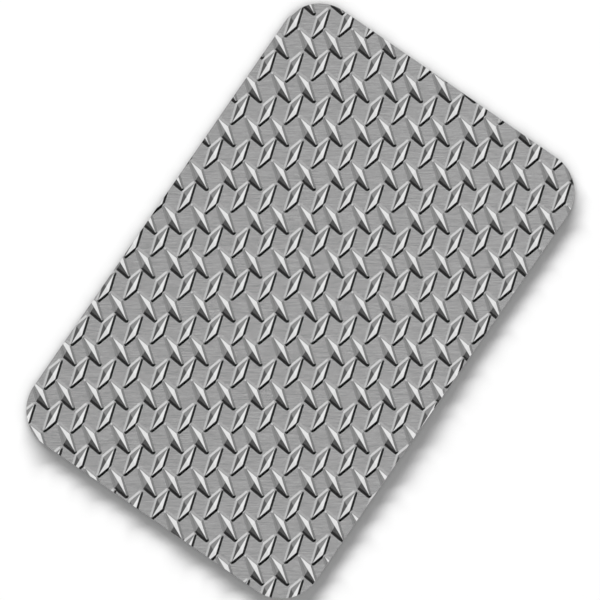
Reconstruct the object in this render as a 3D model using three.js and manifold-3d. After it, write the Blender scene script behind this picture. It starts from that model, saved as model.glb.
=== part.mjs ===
// Checker plate: a flat steel blank with raised lozenge lugs on its top face.
//
// The plate is modelled the way it is made. Engraved rolls raise two slanting sets of lugs on a wide sheet,
// and a blank with rounded corners is then cut out of that sheet on the skew, so the cut runs straight through
// every lug that it meets. The plate is rolled as one piece, so it is one solid.
//
// Millimetres, +Z up. The origin is the centre of the flat underside. X runs along the short sides of the
// blank and Y along the long ones.

import * as THREE from "three";
import { ConvexGeometry } from "three/addons/geometries/ConvexGeometry.js";
import { mergeVertices } from "three/addons/utils/BufferGeometryUtils.js";
import Module from "manifold-3d";

// The blank.
const plateWidth = 325;
const plateLength = 500;
const plateThickness = 4; // of the sheet between its lugs
const cornerRadius = 40;
const cornerChords = 12; // straight facets round each corner of the blank

// The rolled pattern. Rows of right-leaning lugs alternate with rows of left-leaning ones, which stand over
// the gaps of the first.
const rowTurn = 34.57; // degrees from the blank's short sides to the rows
const lugPitch = 25.4; // from lug to lug along a row
const rowPitch = 41.62; // from a row to the next row that leans the same way
const patternAlong = -6.4; // from the blank's centre to the right-leaning lug next to it, along the rows
const patternAcross = 14.65; // and across them
const leftRowShift = 0.8; // the left-leaning rows stand this much higher than halfway between the others
const leftLugShift = -0.1; // and their lugs this much further along than over the middle of each gap
const rightStagger = 0.9; // every other right-leaning lug is this much higher in its row, and the rest lower
const leftStagger = 1; // every other left-leaning lug is this much less far along, and the rest further

// One lug: a shallow lozenge roof of four facets that meet at a peak, on a flank that slopes down to the
// sheet all round it.
const crownLength = 31.2; // of the roof from tip to tip
const crownLean = 31.1; // degrees from square across the row to the tips
const crownBreadth = 10.3; // of the roof from one side corner to the other
const cornerLean = 31; // degrees from square across the row to the side corners, the other way
const longFlank = 2.15; // width of the flank along the roof's long sides, seen from above
const shortFlank = 2.6; // and along its short sides
const footRound = 2.6; // radius of the foot round each corner, seen from above
const flankRise = 1.1; // from the sheet to the foot of the roof
const roofRise = 0.9; // from there to the peak
const tipChords = 2; // straight facets of the flank round each tip
const cornerFlankChords = 1; // and round each side corner

const lugRoot = 2; // how deep a lug's solid reaches into the sheet before the two are joined
const cutClearance = 5; // how far the cutting outline passes above and below the sheet

const lugSpan = crownLength + 2 * shortFlank; // at least a whole lug from tip to tip
const radians = THREE.MathUtils.degToRad;
const wasm = await Module();
wasm.setup();

// A closed three.js geometry as a solid that can be joined and cut.
function toSolid(geometry) {
  const bare = new THREE.BufferGeometry();
  bare.setAttribute("position", geometry.getAttribute("position"));
  bare.setIndex(geometry.getIndex());
  const merged = mergeVertices(bare);
  return new wasm.Manifold(
    new wasm.Mesh({
      numProp: 3,
      vertProperties: merged.getAttribute("position").array,
      triVerts: new Uint32Array(merged.getIndex().array),
    }),
  );
}

// The solid as a three.js geometry, with a flat normal on every facet.
function toGeometry(solid) {
  const mesh = solid.getMesh();
  const geometry = new THREE.BufferGeometry();
  geometry.setAttribute("position", new THREE.BufferAttribute(mesh.vertProperties, mesh.numProp));
  geometry.setIndex(new THREE.BufferAttribute(mesh.triVerts, 1));
  const flat = geometry.toNonIndexed();
  flat.computeVertexNormals();
  return flat;
}

// The blank's outline: a rectangle with rounded corners, centred on the origin.
function blankOutline() {
  const x = plateWidth / 2 - cornerRadius;
  const y = plateLength / 2 - cornerRadius;
  const quarter = Math.PI / 2;
  const outline = new THREE.Shape();
  outline.absarc(x, y, cornerRadius, 0, quarter);
  outline.absarc(-x, y, cornerRadius, quarter, 2 * quarter);
  outline.absarc(-x, -y, cornerRadius, 2 * quarter, 3 * quarter);
  outline.absarc(x, -y, cornerRadius, 3 * quarter, 4 * quarter);
  return outline;
}

// The points of the foot's arc at a corner of the roof. Each of the two sides that meet there is moved out
// by its flank's width less the arc's radius, and the arc's centre is where the two moved sides cross: the
// corner plus ((a - c b) m + (b - c a) n) / (1 - c c), where m and n point out of the two sides, c is their
// product, and a and b are how far the sides moved.
function footArc(corner, before, after, chords) {
  const sides = [corner.clone().sub(before), after.clone().sub(corner)];
  const [m, n] = sides.map((side) => new THREE.Vector2(side.y, -side.x).normalize());
  const longer = sides[0].length() > sides[1].length();
  const a = (longer ? longFlank : shortFlank) - footRound;
  const b = (longer ? shortFlank : longFlank) - footRound;
  const c = m.dot(n);
  const centre = corner
    .clone()
    .addScaledVector(m, (a - c * b) / (1 - c * c))
    .addScaledVector(n, (b - c * a) / (1 - c * c));
  const sweep = THREE.MathUtils.euclideanModulo(n.angle() - m.angle(), 2 * Math.PI);
  const arc = new THREE.ArcCurve(centre.x, centre.y, footRound, m.angle(), m.angle() + sweep);
  return arc.getPoints(chords);
}

// One lug standing on the sheet, its peak over the origin: the convex hull of its peak, the corners of its
// roof, its foot on the sheet and its root inside it. lean is 1 for a lug that leans right and -1 for one that
// leans left.
function lugGeometry(lean) {
  const tipAngle = radians(90 - lean * crownLean);
  const cornerAngle = radians(90 + lean * cornerLean);
  const tip = new THREE.Vector2(Math.cos(tipAngle), Math.sin(tipAngle)).multiplyScalar(crownLength / 2);
  const corner = new THREE.Vector2(Math.cos(cornerAngle), Math.sin(cornerAngle));
  corner.multiplyScalar(crownBreadth / 2);
  const crown = [tip, corner, tip.clone().negate(), corner.clone().negate()];
  const chords = [tipChords, cornerFlankChords, tipChords, cornerFlankChords];
  if (lean < 0) {
    crown.reverse(); // still counterclockwise
    chords.reverse();
  }
  const foot = crown.flatMap((at, i) => footArc(at, crown.at(i - 1), crown[(i + 1) % 4], chords[i]));
  const raise = (height) => (at) => new THREE.Vector3(at.x, at.y, height);
  return new ConvexGeometry([
    new THREE.Vector3(0, 0, plateThickness + flankRise + roofRise),
    ...crown.map(raise(plateThickness + flankRise)),
    ...foot.map(raise(plateThickness)),
    ...foot.map(raise(plateThickness - lugRoot)),
  ]);
}

// The centre and lean of every lug that can touch the blank, in the blank's own axes.
function lugPlaces() {
  const reach = Math.hypot(plateWidth, plateLength) / 2 + lugSpan;
  const columns = Math.ceil(reach / lugPitch);
  const rows = Math.ceil(reach / rowPitch);
  const places = [];
  for (let row = -rows; row <= rows; row++) {
    for (let column = -columns; column <= columns; column++) {
      const side = (row + column) % 2 === 0 ? 1 : -1;
      const along = patternAlong + column * lugPitch;
      const across = patternAcross + row * rowPitch;
      const leftAlong = along + lugPitch / 2 + leftLugShift - side * leftStagger;
      const leftAcross = across + rowPitch / 2 + leftRowShift;
      places.push({ lean: 1, at: new THREE.Vector2(along, across + side * rightStagger) });
      places.push({ lean: -1, at: new THREE.Vector2(leftAlong, leftAcross) });
    }
  }
  const centre = new THREE.Vector2();
  for (const place of places) place.at.rotateAround(centre, radians(rowTurn));
  return places.filter(
    ({ at }) => Math.abs(at.x) < (plateWidth + lugSpan) / 2 && Math.abs(at.y) < (plateLength + lugSpan) / 2,
  );
}

// The rolled sheet round the blank, with every lug on it.
function rolledSheet() {
  const margin = 2 * lugSpan;
  const slab = new THREE.BoxGeometry(plateWidth + margin, plateLength + margin, plateThickness);
  slab.translate(0, 0, plateThickness / 2);
  let sheet = toSolid(slab);
  const lugs = { 1: lugGeometry(1), [-1]: lugGeometry(-1) };
  for (const { lean, at } of lugPlaces()) {
    const lug = lugs[lean].clone();
    lug.rotateZ(radians(rowTurn));
    lug.translate(at.x, at.y, 0);
    sheet = sheet.add(toSolid(lug));
  }
  return sheet;
}

// The cutter: everything inside the blank's outline, from below the sheet to above its lugs.
function blankCutter() {
  const depth = plateThickness + flankRise + roofRise + 2 * cutClearance;
  const cutter = new THREE.ExtrudeGeometry(blankOutline(), {
    depth,
    bevelEnabled: false,
    curveSegments: cornerChords,
  });
  cutter.translate(0, 0, -cutClearance);
  return toSolid(cutter);
}

const steel = new THREE.MeshStandardMaterial({ color: 0xc5c5c5, roughness: 0.35, metalness: 1 });
const checkerPlate = new THREE.Mesh(toGeometry(rolledSheet().intersect(blankCutter())), steel);
checkerPlate.name = "checker_plate";

const part = new THREE.Group();
part.add(checkerPlate);

export default part;
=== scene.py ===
"""Checker steel plate: one blank of floor plate with rolled lozenge lugs, lying flat in a pale studio.

Metres, +Z up. The origin is the centre of the plate's underside, X runs along its short sides and Y along
its long ones. The rows of lugs cross the blank on the skew, and the brushed grain follows the rows.
"""

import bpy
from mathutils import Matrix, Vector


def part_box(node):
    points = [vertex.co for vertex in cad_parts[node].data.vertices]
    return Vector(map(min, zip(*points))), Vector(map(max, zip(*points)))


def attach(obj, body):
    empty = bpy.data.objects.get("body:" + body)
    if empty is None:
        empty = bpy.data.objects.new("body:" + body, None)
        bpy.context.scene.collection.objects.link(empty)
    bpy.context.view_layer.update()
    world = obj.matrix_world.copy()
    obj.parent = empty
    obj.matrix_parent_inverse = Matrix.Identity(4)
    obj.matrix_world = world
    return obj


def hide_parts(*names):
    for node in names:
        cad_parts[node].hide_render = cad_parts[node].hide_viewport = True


bl_info = {
    "name": "Checker Steel Plate",
    "version": (1, 0, 0),
    "blender": (4, 5, 0),
    "location": "View3D > Sidebar > Checker Plate",
    "description": "Builds a skew-cut checker plate with rolled lugs, its steel finish and a pale studio",
    "category": "Add Mesh",
}

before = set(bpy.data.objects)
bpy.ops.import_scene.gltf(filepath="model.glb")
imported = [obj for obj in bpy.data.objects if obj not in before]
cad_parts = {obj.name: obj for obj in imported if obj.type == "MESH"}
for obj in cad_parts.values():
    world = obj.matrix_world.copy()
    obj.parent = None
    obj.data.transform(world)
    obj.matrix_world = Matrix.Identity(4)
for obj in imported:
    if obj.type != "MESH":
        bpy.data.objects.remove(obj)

import math

import bpy
import numpy as np
from bpy.props import FloatProperty, FloatVectorProperty, PointerProperty

NODE = "checker_plate"
BLANK_LOW, BLANK_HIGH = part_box(NODE)
MM = 0.001


# Properties


def size(name, description, millimetres):
    """A size that a user can change, kept in metres."""
    return FloatProperty(
        name=name, description=description, default=millimetres * MM, unit="LENGTH", precision=5
    )


def turn(name, description, degrees):
    """An angle that a user can change, kept in radians."""
    return FloatProperty(name=name, description=description, default=math.radians(degrees), unit="ROTATION")


def share(name, description, default):
    """A share from 0 to 1 that a user can change."""
    return FloatProperty(name=name, description=description, default=default, min=0, max=1, subtype="FACTOR")


def level(name, description, default):
    """A plain amount, 0 or more, that a user can change."""
    return FloatProperty(name=name, description=description, default=default, min=0)


def colour(name, description, default):
    """A colour that a user can change."""
    return FloatVectorProperty(
        name=name, description=description, default=default, subtype="COLOR", min=0, max=1
    )


class BlankSizes(bpy.types.PropertyGroup):
    """The flat blank that is cut out of the rolled sheet."""

    width: size("Width", "Across the blank", (BLANK_HIGH.x - BLANK_LOW.x) / MM)
    length: size("Length", "Along the blank", (BLANK_HIGH.y - BLANK_LOW.y) / MM)
    thickness: size("Thickness", "Of the sheet between its lugs", 4)
    corner_radius: size("Corner radius", "Of the blank's four corners", 40)
    edge_break: size("Edge break", "How far the cut edges are dulled", 0.2)


class PatternSizes(bpy.types.PropertyGroup):
    """The lattice on which the rolls raise the lugs."""

    row_turn: turn("Row turn", "From the blank's short sides to the rows of lugs", 34.57)
    lug_pitch: size("Lug pitch", "From lug to lug along a row", 25.4)
    row_pitch: size("Row pitch", "From a row to the next that leans the same way", 41.62)
    along: size("Along", "From the blank's centre to a right-leaning lug, along the rows", -6.4)
    across: size("Across", "The same, square to the rows", 14.65)
    left_lug_shift: size("Left lug shift", "Left-leaning lugs stand this far past the middle of a gap", -0.1)
    left_row_shift: size("Left row shift", "Left-leaning rows stand this far past halfway", 0.8)
    right_stagger: size("Right stagger", "How far right-leaning lugs lie across their row, either way", 0.9)
    left_stagger: size("Left stagger", "How far left-leaning lugs lie along their row, either way", 1)


class LugSizes(bpy.types.PropertyGroup):
    """One lug: a lozenge roof of four facets, on a flank that slopes down to the sheet."""

    crown_length: size("Crown length", "Of the roof, from tip to tip", 31.2)
    crown_lean: turn("Crown lean", "Of the tips, from square across the row", 31.1)
    crown_breadth: size("Crown breadth", "Of the roof, from side corner to side corner", 10.3)
    corner_lean: turn("Corner lean", "Of the side corners, the other way", 31)
    crown_round: size("Crown round", "Radius of the roof's corners seen from above", 0.22)
    foot_round: size("Foot round", "Radius of the foot's corners seen from above", 2.6)
    long_flank: size("Long flank", "Width of the flank along the roof's long sides", 2.15)
    short_flank: size("Short flank", "Width of the flank along the roof's short sides", 2.6)
    flank_rise: size("Flank rise", "From the sheet to the foot of the roof", 1.1)
    roof_rise: size("Roof rise", "From the foot of the roof to the peak", 0.9)


class SteelFinish(bpy.types.PropertyGroup):
    """The bare steel: its colour, its brushed grain and the smoother lugs."""

    steel: colour("Steel", "Colour of the bare steel", (0.56, 0.56, 0.56))
    face_roughness: share("Face roughness", "Of the brushed sheet", 0.26)
    lug_roughness: share("Lug roughness", "Of the burnished lugs", 0.15)
    edge_roughness: share("Edge roughness", "Of the cut edge", 0.38)
    grain_contrast: share("Grain contrast", "How far the brushed streaks vary in tone", 0.38)
    grain_length: size("Grain length", "Of a brushed streak", 11)
    grain_width: size("Grain width", "Of a brushed streak", 0.9)
    grain_depth: size("Grain depth", "Of the brushed streaks", 0.002)
    mottle_contrast: share("Mottle contrast", "How far the lugs vary in tone", 0.1)


class StudioSettings(bpy.types.PropertyGroup):
    """The stage: a pale floor, one low soft lamp, an even fill and the camera."""

    floor: colour("Floor", "Colour of the floor", (0.96, 0.96, 0.96))
    floor_lift: level("Floor lift", "Added to the floor where it is seen or mirrored", 0.02)
    # Painted shade: these two darken the floor's own colour close to the plate, by how much and how far out
    painted_contact_shade: share("Contact shade", "How far the floor darkens where the plate hides its sky", 0.65)
    contact_reach: size("Contact reach", "How far from the plate the floor darkens", 13)
    fill_level: level("Fill level", "Of the even fill that reaches matt surfaces from across the lamp", 0.69)
    lamp_level: level("Lamp level", "Of the low strip lamp's light on a level surface", 0.92)
    lamp_turn: turn("Lamp turn", "Of the strip lamp, counterclockwise from the rows", 103.3)
    lamp_rise: turn("Lamp rise", "Of the strip lamp above the floor", 12)
    lamp_width: turn("Lamp width", "How wide the strip lamp looks from the plate", 60)
    lamp_height: turn("Lamp height", "How high the strip lamp looks from the plate", 8)
    lens: level("Lens", "Focal length in millimetres", 1000)
    view_side: size("View side", "How much of the plate's level the square view takes in", 569.1)
    aim_along: size("Aim along", "Of the camera from the blank's centre, along the rows", -0.37)
    aim_across: size("Aim across", "The same, square to the rows", 1.04)


class CheckerPlateSettings(bpy.types.PropertyGroup):
    """Everything about the plate and its stage that a user would change."""

    blank: PointerProperty(type=BlankSizes)
    pattern: PointerProperty(type=PatternSizes)
    lug: PointerProperty(type=LugSizes)
    finish: PointerProperty(type=SteelFinish)
    studio: PointerProperty(type=StudioSettings)


# The plate's shape

TIP_STEPS = 4  # straight steps of the arc at each tip of a lug
SIDE_STEPS = 1  # and at each of its side corners
OUTLINE_STEPS = 32  # and at each corner of the blank
EDGE_STEPS = 3  # and of the quarter circle that dulls a cut edge
# Rings of a lug: shares of the way out from the peak to the crown's edge, and then of the way down the
# flank. The narrow strips between the rings on either side of the crown's edge and of the foot soften them.
ROOF_RINGS = (0.12, 0.89)
FLANK_RINGS = (0.1, 0.95, 1.12)
PEAK_WEAR = 0.3  # how much of the rise inside the first ring is worn off the peak
SHEET_MARGIN = 4  # crown lengths: how much larger the sheet is, and how far up and down the cutter reaches
UPRIGHT = 0.6  # a face whose normal rises less than this belongs to the cut edge
SHARP_TURN = 32  # degrees between two faces from which the edge between them stays sharp
FACET_WEIGHT = 100  # of 1 to 100: how far large faces outweigh small ones in the shading, 50 being neutral
LEVEL_SLACK = 0.001 * MM  # how far a point on the sheet may lie off the sheet's level


def turned(points, angle):
    """Points in a plane, turned counterclockwise: x cos - y sin, x sin + y cos."""
    x, y = points[..., 0], points[..., 1]
    cosine, sine = math.cos(angle), math.sin(angle)
    return np.stack([x * cosine - y * sine, x * sine + y * cosine], axis=-1)


def crown_corners(lug, lean):
    """The four corners of a roof, counterclockwise round its peak.

    The tips lie half the crown's length from the peak, and the side corners half its breadth. The tips are
    turned from square across the row by the crown's lean, and the side corners the other way by theirs. lean
    is 1 for a right-leaning lug and -1 for its mirror image.
    """
    tip = lug.crown_length / 2 * np.array([lean * math.sin(lug.crown_lean), math.cos(lug.crown_lean)])
    side = lug.crown_breadth / 2 * np.array([-lean * math.sin(lug.corner_lean), math.cos(lug.corner_lean)])
    return np.array([tip, side, -tip, -side])[::lean]


def lug_ring(lug, lean, down):
    """The lug's outline at a share of the way down its flank, seen from above, with an arc at each corner.

    Each side of the roof is moved out by its flank's width times the share, less the arc's radius. Two sides
    then meet at the corner plus ((a - c b) m + (b - c a) n) / (1 - c c), where m and n are their outward
    normals, c is the product of the two, and a and b are how far they moved. A point is that meeting point
    plus the radius along a normal that turns in even steps from m to n. The radius goes evenly from the
    crown's to the foot's with the share.
    """
    corners = crown_corners(lug, lean)
    sides = np.roll(corners, -1, axis=0) - corners
    lengths = np.linalg.norm(sides, axis=1)
    radius = lug.crown_round + (lug.foot_round - lug.crown_round) * down
    moved = np.where(lengths > lengths.mean(), lug.long_flank, lug.short_flank)[:, None] * down - radius
    after = np.stack([sides[:, 1], -sides[:, 0]], axis=1) / lengths[:, None]
    before, moved_before = np.roll(after, 1, axis=0), np.roll(moved, 1, axis=0)
    product = np.sum(before * after, axis=1)[:, None]
    meeting = (moved_before - product * moved) * before + (moved - product * moved_before) * after
    centres = corners + meeting / (1 - product**2)
    reach = np.linalg.norm(corners, axis=1)
    steps = np.where(reach > reach.mean(), TIP_STEPS, SIDE_STEPS)
    corner = np.repeat(np.arange(4), steps + 1)
    step = np.concatenate([np.arange(count + 1) / count for count in steps])
    bearing = np.arctan2(before[:, 1], before[:, 0])[corner] + np.arccos(product[:, 0])[corner] * step
    return centres[corner] + radius * np.stack([np.cos(bearing), np.sin(bearing)], axis=1)


def closed_rings(rings, peak=None):
    """A closed solid through level rings, from the highest down: points, face corners and face sizes.

    Each ring is an outline, counterclockwise and with as many points as the others, and its height. Walls
    join each ring to the next, one face closes the lowest, and one face or a fan round the peak closes the
    highest.
    """
    around = len(rings[0][0])
    levels = [np.column_stack([outline, np.full(around, height)]) for outline, height in rings]
    points = np.concatenate(levels)
    here, there = np.arange(around), (np.arange(around) + 1) % around
    below = np.arange(len(rings) - 1)[:, None] * around
    walls = np.stack([here + below, here + below + around, there + below + around, there + below], axis=-1)
    bottom = here[::-1] + below[-1] + around
    if peak is None:
        top, top_sizes = here, [around]
    else:
        top = np.stack([np.full(around, len(points)), here, there], axis=-1).ravel()
        top_sizes = [3] * around
        points = np.concatenate([points, [peak]])
    loops = np.concatenate([top, walls.ravel(), bottom])
    return points, loops, np.concatenate([top_sizes, np.full(walls.size // 4, 4), [around]])


def lug_shell(lug, lean, sheet_top):
    """One closed lug round the origin: rings joined from the peak down to the root.

    A roof ring is the crown's outline shrunk towards the peak, and the roof falls with its share of the way
    out. A flank ring is the outline at its share of the way down, and the flank falls with that share. The
    last flank ring lies just under the sheet's face, and the root right under it, halfway into the sheet.
    """
    crown = sheet_top + lug.flank_rise
    outline = lug_ring(lug, lean, 0)
    rings = [(outline * out, crown + lug.roof_rise * (1 - out)) for out in ROOF_RINGS]
    rings += [(lug_ring(lug, lean, down), crown - lug.flank_rise * down) for down in FLANK_RINGS]
    rings += [(rings[-1][0], sheet_top / 2)]
    return closed_rings(rings, (0, 0, crown + lug.roof_rise * (1 - ROOF_RINGS[0] * PEAK_WEAR)))


def lug_centres(pattern, blank, lug, lean):
    """Where the lugs that lean one way stand, in the blank's own axes.

    Columns and rows make a lattice in which every other lug is staggered one way, and the rest the other
    way: across the row where they lean right, and along it where they lean left. The lattice is turned by
    the rows' angle, and the lugs that miss the blank are dropped.
    """
    half = np.array([blank.width, blank.length]) / 2
    reach = np.linalg.norm(half) + lug.crown_length
    columns, rows = (math.ceil(reach / pitch) for pitch in (pattern.lug_pitch, pattern.row_pitch))
    column, row = np.meshgrid(np.arange(-columns, columns + 1), np.arange(-rows, rows + 1))
    side = 1 - 2 * ((column + row) % 2)
    along = pattern.along + column * pattern.lug_pitch
    across = pattern.across + row * pattern.row_pitch
    if lean > 0:
        across = across + side * pattern.right_stagger
    else:
        along = along + pattern.lug_pitch / 2 + pattern.left_lug_shift - side * pattern.left_stagger
        across = across + pattern.row_pitch / 2 + pattern.left_row_shift
    centres = turned(np.stack([along.ravel(), across.ravel()], axis=-1), pattern.row_turn)
    margin = lug.crown_length / 2 + lug.short_flank
    return centres[np.all(np.abs(centres) < half + margin, axis=1)]


def all_lugs(pattern, blank, lug, lean):
    """Every lug that leans one way: one shell turned with the rows and repeated at each centre."""
    points, loops, sizes = lug_shell(lug, lean, blank.thickness)
    points[:, :2] = turned(points[:, :2], pattern.row_turn)
    centres = lug_centres(pattern, blank, lug, lean)
    shift = np.column_stack([centres, np.zeros(len(centres))])
    placed = points + shift[:, None]
    repeated = loops + np.arange(len(centres))[:, None] * len(points)
    return placed.reshape(-1, 3), repeated.ravel(), np.tile(sizes, len(centres))


def rounded_rectangle(width, length, radius):
    """A rectangle's outline, counterclockwise: at each corner an arc about a centre one radius in."""
    bearing = np.linspace(0, math.pi / 2, OUTLINE_STEPS + 1) + np.arange(4)[:, None] * math.pi / 2
    centres = np.array([[1, 1], [-1, 1], [-1, -1], [1, -1]]) * (np.array([width, length]) / 2 - radius)
    return (centres[:, None] + radius * np.stack([np.cos(bearing), np.sin(bearing)], axis=-1)).reshape(-1, 2)


def blank_cutter(blank, reach):
    """The solid that cuts the blank out of the sheet: its outline, drawn in where the cut edges are dulled.

    At the sheet's face and at its underside the outline lies one edge break further in. From each it swells
    along a quarter circle: inset (1 - cos t) and depth (1 - sin t) times the edge break, with t going from
    90 degrees to 0.
    """
    turns = np.linspace(math.pi / 2, 0, EDGE_STEPS + 1)
    insets = blank.edge_break * np.concatenate([[1], 1 - np.cos(turns), (1 - np.cos(turns))[::-1], [1]])
    depths = blank.edge_break * (1 - np.sin(turns))
    heights = np.concatenate([[reach], blank.thickness - depths, depths[::-1], [-reach]])
    width, length, radius = blank.width, blank.length, blank.corner_radius
    outlines = [rounded_rectangle(width - 2 * inset, length - 2 * inset, radius - inset) for inset in insets]
    return closed_rings(list(zip(outlines, heights)))


def mesh_object(name, points, loops, sizes):
    """A mesh object from whole arrays: points, the faces' corners in a row, and how many each face has."""
    mesh = bpy.data.meshes.new(name)
    mesh.vertices.add(len(points))
    mesh.vertices.foreach_set("co", np.asarray(points, np.float32).ravel())
    mesh.loops.add(len(loops))
    mesh.loops.foreach_set("vertex_index", np.asarray(loops, np.int32))
    mesh.polygons.add(len(sizes))
    mesh.polygons.foreach_set("loop_start", np.concatenate([[0], np.cumsum(sizes)[:-1]]).astype(np.int32))
    mesh.update(calc_edges=True)
    piece = bpy.data.objects.new(name, mesh)
    bpy.context.scene.collection.objects.link(piece)
    return piece


def read_array(items, name, width=1, dtype=np.float32):
    """One property of every item in a collection, as an array with one row to each item."""
    values = np.empty(len(items) * width, dtype)
    items.foreach_get(name, values)
    return values.reshape(-1, width) if width > 1 else values


def bake_modifiers(piece):
    """Puts what a piece's modifiers give into its own mesh."""
    evaluated = piece.evaluated_get(bpy.context.evaluated_depsgraph_get())
    result = bpy.data.meshes.new_from_object(evaluated)
    piece.modifiers.clear()
    before, piece.data = piece.data, result
    bpy.data.meshes.remove(before)


def combine(piece, other, operation):
    """Joins another solid to a piece, or keeps what the two share, and removes the other."""
    step = piece.modifiers.new(operation.title(), "BOOLEAN")
    step.object, step.operation, step.solver = other, operation, "MANIFOLD"
    bake_modifiers(piece)
    bpy.data.objects.remove(other)


def rolled_plate(settings):
    """The plate's solid: a sheet larger than the blank, both sets of lugs joined to it, cut to outline."""
    blank, pattern, lug = settings.blank, settings.pattern, settings.lug
    margin = SHEET_MARGIN * lug.crown_length
    corners = np.array([[-1, -1], [1, -1], [1, 1], [-1, 1]]) / 2
    sheet = corners * (blank.width + margin, blank.length + margin)
    plate = mesh_object("checkered_plate", *closed_rings([(sheet, blank.thickness), (sheet, 0)]))
    for name, lean in (("right_lugs", 1), ("left_lugs", -1)):
        combine(plate, mesh_object(name, *all_lugs(pattern, blank, lug, lean)), "UNION")
    combine(plate, mesh_object("cutter", *blank_cutter(blank, margin)), "INTERSECT")
    plate.data.name = "checkered_plate"
    return plate


def even_shading(plate, sheet_top):
    """Smooth shading in which the broad facets stay flat and only the narrow strips between them turn.

    Each corner takes the normal of the largest face that meets there without a sharp edge between. Along the
    feet of the lugs and the edge of the blank that is the sheet's, and there it is set straight up.
    """
    plate.data.shade_smooth()
    plate.data.set_sharp_from_angle(angle=math.radians(SHARP_TURN))
    facets = plate.modifiers.new("Facet normals", "WEIGHTED_NORMAL")
    facets.keep_sharp, facets.weight = True, FACET_WEIGHT
    bake_modifiers(plate)
    mesh = plate.data
    normals = read_array(mesh.corner_normals, "vector", 3)
    heights = read_array(mesh.vertices, "co", 3)[read_array(mesh.loops, "vertex_index", dtype=np.int32), 2]
    corners_of = read_array(mesh.polygons, "loop_total", dtype=np.int32)
    facing = np.repeat(read_array(mesh.polygons, "normal", 3)[:, 2], corners_of)
    normals[(np.abs(heights - sheet_top) < LEVEL_SLACK) & (facing > UPRIGHT)] = (0, 0, 1)
    mesh.normals_split_custom_set(normals)


# Materials

# Kinds of socket on a node group
NUMBER = "NodeSocketFloat"
VECTOR = "NodeSocketVector"
COLOUR = "NodeSocketColor"
# Where a Mix node's two inputs and its output are, for each kind of value that it mixes
MIX_SOCKETS = {"FLOAT": (2, 3, 0), "RGBA": (6, 7, 2)}
GRAIN_FINENESS = (1, 4.3)  # of the two sets of streaks in the grain
FINE_SHARE = 0.35  # of the finer set in the mixture
GRAIN_NOISE = {"Scale": 1, "Detail": 2, "Roughness": 0.6}
GRAIN_RANGE = (0.3, 0.7)  # values of the mixture that are spread out to 0 and 1
LUG_START = (0.02 * MM, 0.3 * MM)  # heights above the sheet between which its finish gives way to the lugs'
LUG_SMOOTHING = 0.9  # how much of the streaks' relief is gone on the lugs
MOTTLE_SIZE = 1.2 * MM
MOTTLE_DETAIL = 2
CUT_LENGTH = 9 * MM  # of a striation on the cut edge
CUT_WIDTH = 0.5 * MM
CUT_DEPTH = 3  # times the depth of the sheet's streaks
CUT_RANGE = (0.2, 0.8)  # values of the striations between which the cut edge's roughness rises
CUT_SPREAD = 0.08  # how far that roughness goes to either side of its middle


def add_node(tree, kind, inputs=None, **settings):
    """A node with its settings made, and each input that is named or numbered linked or given a value."""
    node = tree.nodes.new(kind)
    for name, value in settings.items():
        setattr(node, name, value)
    for name, value in (inputs or {}).items():
        if isinstance(value, bpy.types.NodeSocket):
            tree.links.new(value, node.inputs[name])
        else:
            node.inputs[name].default_value = value
    return node


def calculate(tree, operation, *values):
    """One Math node on sockets or numbers, and its output."""
    return add_node(tree, "ShaderNodeMath", dict(enumerate(values)), operation=operation).outputs[0]


def ramp(tree, value, start, end, low=0, high=1):
    """A smooth step from low to high while a value goes from start to end."""
    inputs = {"Value": value, "From Min": start, "From Max": end, "To Min": low, "To Max": high}
    return add_node(tree, "ShaderNodeMapRange", inputs, interpolation_type="SMOOTHSTEP").outputs[0]


def mix(tree, factor, first, second, kind="FLOAT"):
    """A value or colour that goes from the first to the second while the factor goes from 0 to 1."""
    a, b, result = MIX_SOCKETS[kind]
    node = add_node(tree, "ShaderNodeMix", {0: factor, a: first, b: second}, data_type=kind)
    return node.outputs[result]


def new_group(name, inputs, output, output_kind):
    """An empty node group with one output, its inputs by name and kind, and their sockets inside it."""
    tree = bpy.data.node_groups.new(name, "ShaderNodeTree")
    for label, kind in inputs.items():
        tree.interface.new_socket(label, in_out="INPUT", socket_type=kind)
    tree.interface.new_socket(output, in_out="OUTPUT", socket_type=output_kind)
    return tree, add_node(tree, "NodeGroupInput").outputs


def use_group(tree, group, inputs):
    """One use of a node group in a material, and its output."""
    return add_node(tree, "ShaderNodeGroup", inputs, node_tree=group).outputs[0]


def brushed_grain_group():
    """Brushed streaks: noise stretched along X to the streaks' length, with a second, finer set mixed in."""
    inputs = {"Vector": VECTOR, "Length": NUMBER, "Width": NUMBER}
    tree, given = new_group("brushed_grain", inputs, "Streaks", NUMBER)
    sets = []
    for fineness in GRAIN_FINENESS:
        along = calculate(tree, "DIVIDE", fineness, given["Length"])
        across = calculate(tree, "DIVIDE", fineness, given["Width"])
        scale = add_node(tree, "ShaderNodeCombineXYZ", {"X": along, "Y": across, "Z": across}).outputs[0]
        place = add_node(tree, "ShaderNodeVectorMath", {0: given["Vector"], 1: scale}, operation="MULTIPLY")
        noise = add_node(tree, "ShaderNodeTexNoise", {"Vector": place.outputs[0], **GRAIN_NOISE})
        sets.append(noise.outputs[0])
    low, high = GRAIN_RANGE
    mixture = {"Value": mix(tree, FINE_SHARE, *sets), "From Min": low, "From Max": high}
    spread = add_node(tree, "ShaderNodeMapRange", mixture)
    add_node(tree, "NodeGroupOutput", {"Streaks": spread.outputs[0]})
    return tree


def steel_tone_group():
    """The steel's colour, darker and lighter with a value: times 1 + contrast (value - one half)."""
    inputs = {"Colour": COLOUR, "Value": NUMBER, "Contrast": NUMBER}
    tree, given = new_group("steel_tone", inputs, "Tone", COLOUR)
    around = calculate(tree, "SUBTRACT", given["Value"], 0.5)
    spread = calculate(tree, "MULTIPLY_ADD", around, given["Contrast"], 1)
    toned = add_node(tree, "ShaderNodeVectorMath", {0: given["Colour"], "Scale": spread}, operation="SCALE")
    add_node(tree, "NodeGroupOutput", {"Tone": toned.outputs[0]})
    return tree


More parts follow.
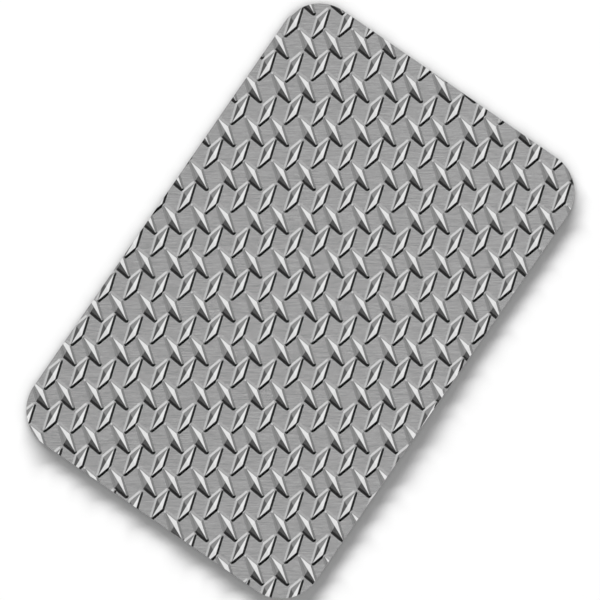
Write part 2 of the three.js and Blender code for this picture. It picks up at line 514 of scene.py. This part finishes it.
def new_material(name):
    """An empty node material with its Principled shader joined to the output."""
    material = bpy.data.materials.new(name)
    material.use_nodes = True
    tree = material.node_tree
    tree.nodes.clear()
    shader = add_node(tree, "ShaderNodeBsdfPrincipled")
    add_node(tree, "ShaderNodeOutputMaterial", {"Surface": shader.outputs[0]})
    return material, tree, shader


def bare_steel(tree, shader, tone, roughness, height, depth):
    """Joins a metal shader to what changes over the surface: its tone, its roughness and its relief."""
    shader.inputs["Metallic"].default_value = 1
    bump = add_node(tree, "ShaderNodeBump", {"Strength": 1, "Distance": depth, "Height": height})
    for name, value in (("Base Color", tone), ("Roughness", roughness), ("Normal", bump.outputs[0])):
        tree.links.new(value, shader.inputs[name])


def rolled_steel(settings, grain, tone):
    """The plate's faces: streaks along the rows on the sheet, and smoother, faintly mottled lugs."""
    finish, thickness, row_turn = settings.finish, settings.blank.thickness, settings.pattern.row_turn
    material, tree, shader = new_material("rolled_steel")
    place = add_node(tree, "ShaderNodeTexCoord").outputs["Object"]
    rows = add_node(tree, "ShaderNodeMapping", {"Vector": place, "Rotation": (0, 0, -row_turn)}).outputs[0]
    height = add_node(tree, "ShaderNodeSeparateXYZ", {0: place}).outputs["Z"]
    start, full = LUG_START
    on_lug = ramp(tree, height, thickness + start, thickness + full)
    sizes = {"Length": finish.grain_length, "Width": finish.grain_width}
    streaks = use_group(tree, grain, {"Vector": rows, **sizes})
    spots = {"Scale": 1 / MOTTLE_SIZE, "Detail": MOTTLE_DETAIL}
    mottle = add_node(tree, "ShaderNodeTexNoise", {"Vector": place, **spots}).outputs[0]
    steel = (*finish.steel, 1)
    on_sheet = {"Colour": steel, "Value": streaks, "Contrast": finish.grain_contrast}
    on_lugs = {"Colour": steel, "Value": mottle, "Contrast": finish.mottle_contrast}
    toned = mix(tree, on_lug, use_group(tree, tone, on_sheet), use_group(tree, tone, on_lugs), "RGBA")
    roughness = mix(tree, on_lug, finish.face_roughness, finish.lug_roughness)
    kept = calculate(tree, "MULTIPLY_ADD", on_lug, -LUG_SMOOTHING, 1)
    relief = calculate(tree, "MULTIPLY", streaks, kept)
    bare_steel(tree, shader, toned, roughness, relief, finish.grain_depth)
    return material


def cut_steel(settings, grain, tone):
    """The cut edge: rougher steel with fine upright striations."""
    finish = settings.finish
    material, tree, shader = new_material("cut_steel")
    place = add_node(tree, "ShaderNodeTexCoord").outputs["Object"]
    x, y, z = add_node(tree, "ShaderNodeSeparateXYZ", {0: place}).outputs
    upright = add_node(tree, "ShaderNodeCombineXYZ", {"X": z, "Y": x, "Z": y}).outputs[0]
    streaks = use_group(tree, grain, {"Vector": upright, "Length": CUT_LENGTH, "Width": CUT_WIDTH})
    striped = {"Colour": (*finish.steel, 1), "Value": streaks, "Contrast": finish.grain_contrast}
    toned = use_group(tree, tone, striped)
    low, high = finish.edge_roughness - CUT_SPREAD, finish.edge_roughness + CUT_SPREAD
    roughness = ramp(tree, streaks, *CUT_RANGE, low, high)
    bare_steel(tree, shader, toned, roughness, streaks, CUT_DEPTH * finish.grain_depth)
    return material


def paint_plate(plate, settings):
    """Gives the faces the rolled finish and the upright wall the cut one."""
    grain, tone = brushed_grain_group(), steel_tone_group()
    plate.data.materials.clear()
    plate.data.materials.append(rolled_steel(settings, grain, tone))
    plate.data.materials.append(cut_steel(settings, grain, tone))
    upright = np.abs(read_array(plate.data.polygons, "normal", 3)[:, 2]) < UPRIGHT
    plate.data.polygons.foreach_set("material_index", upright.astype(np.int32))


# The stage

PANEL_PEAK = 2  # the level that the panels' colours are shares of
ZENITH_LEVEL = 0.67  # what the steel mirrors right above it
HORIZON_LEVEL = 1  # and low down all round
# What the lugs' roofs mirror, near the zenith: (degrees counterclockwise from the rows, level)
HIGH_PANELS = (
    (0, 1.79), (17, 1.76), (50, 1.82), (90, 1.2), (130, 0.57), (163, 0.18), (197, 0.66), (230, 0.16),
    (270, 0.3), (308, 1.65), (343, 1.92), (360, 1.79),
)
# What their flanks mirror, about 40 degrees above the floor
LOW_PANELS = (
    (0, 0.15), (17, 0.5), (50, 0.93), (105, 1), (130, 1.48), (163, 1.12), (197, 0.57), (230, 0.04),
    (300, 0.002), (343, 0.04), (360, 0.15),
)
# Degrees from the zenith between which each ring of panels fades in, and then out
HIGH_RING = (8, 14, 31, 36)
LOW_RING = (36, 41, 60, 66)
HORIZON_RING = (62, 69)  # and the horizon fades in
FILL_FADE = 0.3  # of the fill's edge overhead to either side, as the sine of an angle
LAMP_REACH = 60  # metres from the plate to the lamp
FLOOR_REACH = 25  # metres from the plate to the edges of the floor
FLOOR_GAP = 0.01 * MM  # under the plate
SENSOR_WIDTH = 36  # millimetres
CLIP_REACH = 3  # times the camera's height


def panel_ring(tree, around, panels):
    """The level of a ring of panels at a share of the way round, eased from one panel to the next."""
    node = add_node(tree, "ShaderNodeValToRGB", {0: around})
    node.color_ramp.interpolation = "EASE"
    stops = node.color_ramp.elements
    for degrees, _ in panels[1:-1]:
        stops.new(degrees / 360)
    for stop, (_, amount) in zip(stops, panels):
        stop.color = (*[amount / PANEL_PEAK] * 3, 1)
    return calculate(tree, "MULTIPLY", node.outputs[0], PANEL_PEAK)


def studio_world(studio, row_turn):
    """The panels round the plate: a dim zenith, two rings of panels above each other and a white horizon.

    Metal mirrors the panels. In their place matt surfaces take an even fill from the half of the sky that
    lies across from the lamp. Light is gathered from the world only along scattered rays, because only they
    tell the world what they left: a world that is sampled like a lamp would light the floor with the panels
    too.
    """
    world = bpy.data.worlds.new("studio_panels")
    world.cycles.sampling_method = "NONE"
    world.use_nodes = True
    tree = world.node_tree
    tree.nodes.clear()
    toward = add_node(tree, "ShaderNodeTexCoord").outputs["Generated"]
    turned_back = add_node(tree, "ShaderNodeMapping", {"Vector": toward, "Rotation": (0, 0, -row_turn)})
    x, y, z = add_node(tree, "ShaderNodeSeparateXYZ", {0: turned_back.outputs[0]}).outputs
    around = calculate(tree, "FRACT", calculate(tree, "DIVIDE", calculate(tree, "ARCTAN2", y, x), math.tau))
    down = calculate(tree, "DEGREES", calculate(tree, "ARCCOSINE", z))
    total = ramp(tree, down, *HIGH_RING[:2], ZENITH_LEVEL, 0)
    for panels, (start, full, fade, end) in ((HIGH_PANELS, HIGH_RING), (LOW_PANELS, LOW_RING)):
        shown = calculate(tree, "MULTIPLY", ramp(tree, down, start, full), ramp(tree, down, fade, end, 1, 0))
        total = calculate(tree, "MULTIPLY_ADD", panel_ring(tree, around, panels), shown, total)
    total = calculate(tree, "ADD", total, ramp(tree, down, *HORIZON_RING, 0, HORIZON_LEVEL))
    to_lamp = calculate(tree, "MULTIPLY", x, math.cos(studio.lamp_turn))
    to_lamp = calculate(tree, "MULTIPLY_ADD", y, math.sin(studio.lamp_turn), to_lamp)
    fill = ramp(tree, to_lamp, -FILL_FADE, FILL_FADE, studio.fill_level, 0)
    matt = calculate(tree, "MINIMUM", add_node(tree, "ShaderNodeLightPath").outputs["Diffuse Depth"], 1)
    light = add_node(tree, "ShaderNodeBackground", {"Strength": mix(tree, matt, total, fill)})
    add_node(tree, "ShaderNodeOutputWorld", {0: light.outputs[0]})
    return world


def studio_floor(studio):
    """A broad matt floor just under the plate, lifted to white only where it is seen or mirrored.

    Close to the plate its colour is darkened by painted shade: the colour times 1 - shade (1 - open), where
    open is the share of the sky that nothing within the contact reach hides.
    """
    corners = np.array([[-1, -1, 0], [1, -1, 0], [1, 1, 0], [-1, 1, 0]]) * FLOOR_REACH - [0, 0, FLOOR_GAP]
    floor = mesh_object("studio_floor", corners, np.arange(4), np.array([4]))
    material, tree, shader = new_material("studio_floor")
    # Painted shade: the ambient occlusion near the plate darkens the floor's base colour
    sky = add_node(tree, "ShaderNodeAmbientOcclusion", {"Distance": studio.contact_reach}).outputs["AO"]
    shade = calculate(tree, "MULTIPLY_ADD", calculate(tree, "SUBTRACT", sky, 1), studio.painted_contact_shade, 1)
    painted_shade_inputs = {0: tuple(studio.floor), "Scale": shade}
    tone = add_node(tree, "ShaderNodeVectorMath", painted_shade_inputs, operation="SCALE")
    tree.links.new(tone.outputs[0], shader.inputs["Base Color"])
    shader.inputs["Roughness"].default_value = 1
    shader.inputs["Specular IOR Level"].default_value = 0
    rays = add_node(tree, "ShaderNodeLightPath").outputs
    seen = calculate(tree, "MAXIMUM", rays["Is Camera Ray"], rays["Is Glossy Ray"])
    seen = calculate(tree, "MAXIMUM", seen, rays["Is Transmission Ray"])
    shader.inputs["Emission Color"].default_value = (1, 1, 1, 1)
    tree.links.new(calculate(tree, "MULTIPLY", seen, studio.floor_lift), shader.inputs["Emission Strength"])
    floor.data.materials.append(material)


def strip_lamp(studio, row_turn):
    """One low, broad lamp that lights the floor and casts the plate's soft shadow, and isn't mirrored.

    It faces the plate from so far away that it lights the floor round the plate evenly. Its power is its
    level times the square of pi and of its distance, over the sine of its rise. A small lamp would give just
    that level, and a wide one gives less, because its ends are further off and don't face the plate.
    """
    data = bpy.data.lights.new("strip_lamp", "AREA")
    data.shape = "RECTANGLE"
    data.size = 2 * LAMP_REACH * math.tan(studio.lamp_width / 2)
    data.size_y = 2 * LAMP_REACH * math.tan(studio.lamp_height / 2)
    data.energy = studio.lamp_level * (math.pi * LAMP_REACH) ** 2 / math.sin(studio.lamp_rise)
    lamp = bpy.data.objects.new("strip_lamp", data)
    bearing = row_turn + studio.lamp_turn
    out, up = LAMP_REACH * math.cos(studio.lamp_rise), LAMP_REACH * math.sin(studio.lamp_rise)
    lamp.location = (out * math.cos(bearing), out * math.sin(bearing), up)
    lamp.rotation_euler = (math.pi / 2 - studio.lamp_rise, 0, bearing + math.pi / 2)
    lamp.visible_glossy = False
    bpy.context.scene.collection.objects.link(lamp)


def overhead_camera(settings):
    """A long lens looking straight down, turned so that the rows of lugs lie level in its view.

    It stands as far above the sheet as the view's side times the focal length over the sensor's width.
    """
    studio, row_turn = settings.studio, settings.pattern.row_turn
    data = bpy.data.cameras.new("overhead_camera")
    data.lens, data.sensor_width = studio.lens, SENSOR_WIDTH
    camera = bpy.data.objects.new("overhead_camera", data)
    aim = turned(np.array([studio.aim_along, studio.aim_across]), row_turn)
    rise = settings.blank.thickness + studio.view_side * studio.lens / SENSOR_WIDTH
    camera.location = (*aim, rise)
    camera.rotation_euler = (0, 0, row_turn)
    data.clip_end = CLIP_REACH * rise
    bpy.context.scene.collection.objects.link(camera)
    bpy.context.scene.camera = camera


# Operators, panel and registration


class CHECKERPLATE_OT_plate(bpy.types.Operator):
    """Builds the plate with its rolled lugs in bare steel"""

    bl_idname = "checkerplate.plate"
    bl_label = "Build the plate"

    def execute(self, context):
        settings = context.scene.checker_plate
        plate = rolled_plate(settings)
        if not len(plate.data.polygons):
            raise RuntimeError("the lugs couldn't be joined to the sheet")
        paint_plate(plate, settings)
        even_shading(plate, settings.blank.thickness)
        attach(plate, "root")
        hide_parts(NODE)
        return {"FINISHED"}


class CHECKERPLATE_OT_studio(bpy.types.Operator):
    """Sets up the floor, the light and the camera"""

    bl_idname = "checkerplate.studio"
    bl_label = "Set up the studio"

    def execute(self, context):
        settings = context.scene.checker_plate
        studio, row_turn = settings.studio, settings.pattern.row_turn
        studio_floor(studio)
        strip_lamp(studio, row_turn)
        context.scene.world = studio_world(studio, row_turn)
        overhead_camera(settings)
        context.scene.view_settings.view_transform = "Standard"
        return {"FINISHED"}


class CHECKERPLATE_PT_sidebar(bpy.types.Panel):
    """The plate's sizes, finish and stage, and the buttons that build them"""

    bl_idname = "CHECKERPLATE_PT_sidebar"
    bl_label = "Checker Plate"
    bl_space_type = "VIEW_3D"
    bl_region_type = "UI"
    bl_category = "Checker Plate"

    def draw(self, context):
        settings = context.scene.checker_plate
        for title in ("blank", "pattern", "lug", "finish", "studio"):
            box = self.layout.box()
            box.label(text=title.title())
            group = getattr(settings, title)
            for name in group.bl_rna.properties.keys():
                if name not in ("rna_type", "name"):
                    box.prop(group, name)
        self.layout.operator(CHECKERPLATE_OT_plate.bl_idname)
        self.layout.operator(CHECKERPLATE_OT_studio.bl_idname)


CLASSES = (
    BlankSizes,
    PatternSizes,
    LugSizes,
    SteelFinish,
    StudioSettings,
    CheckerPlateSettings,
    CHECKERPLATE_OT_plate,
    CHECKERPLATE_OT_studio,
    CHECKERPLATE_PT_sidebar,
)


def register():
    """Adds the settings, the operators and the panel."""
    for cls in CLASSES:
        bpy.utils.register_class(cls)
    bpy.types.Scene.checker_plate = PointerProperty(type=CheckerPlateSettings)


def unregister():
    """Takes them away again."""
    del bpy.types.Scene.checker_plate
    for cls in reversed(CLASSES):
        bpy.utils.unregister_class(cls)


def main():
    """Builds everything."""
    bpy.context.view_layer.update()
    register()
    bpy.ops.checkerplate.plate()
    bpy.ops.checkerplate.studio()


if __name__ == "__main__":
    main()
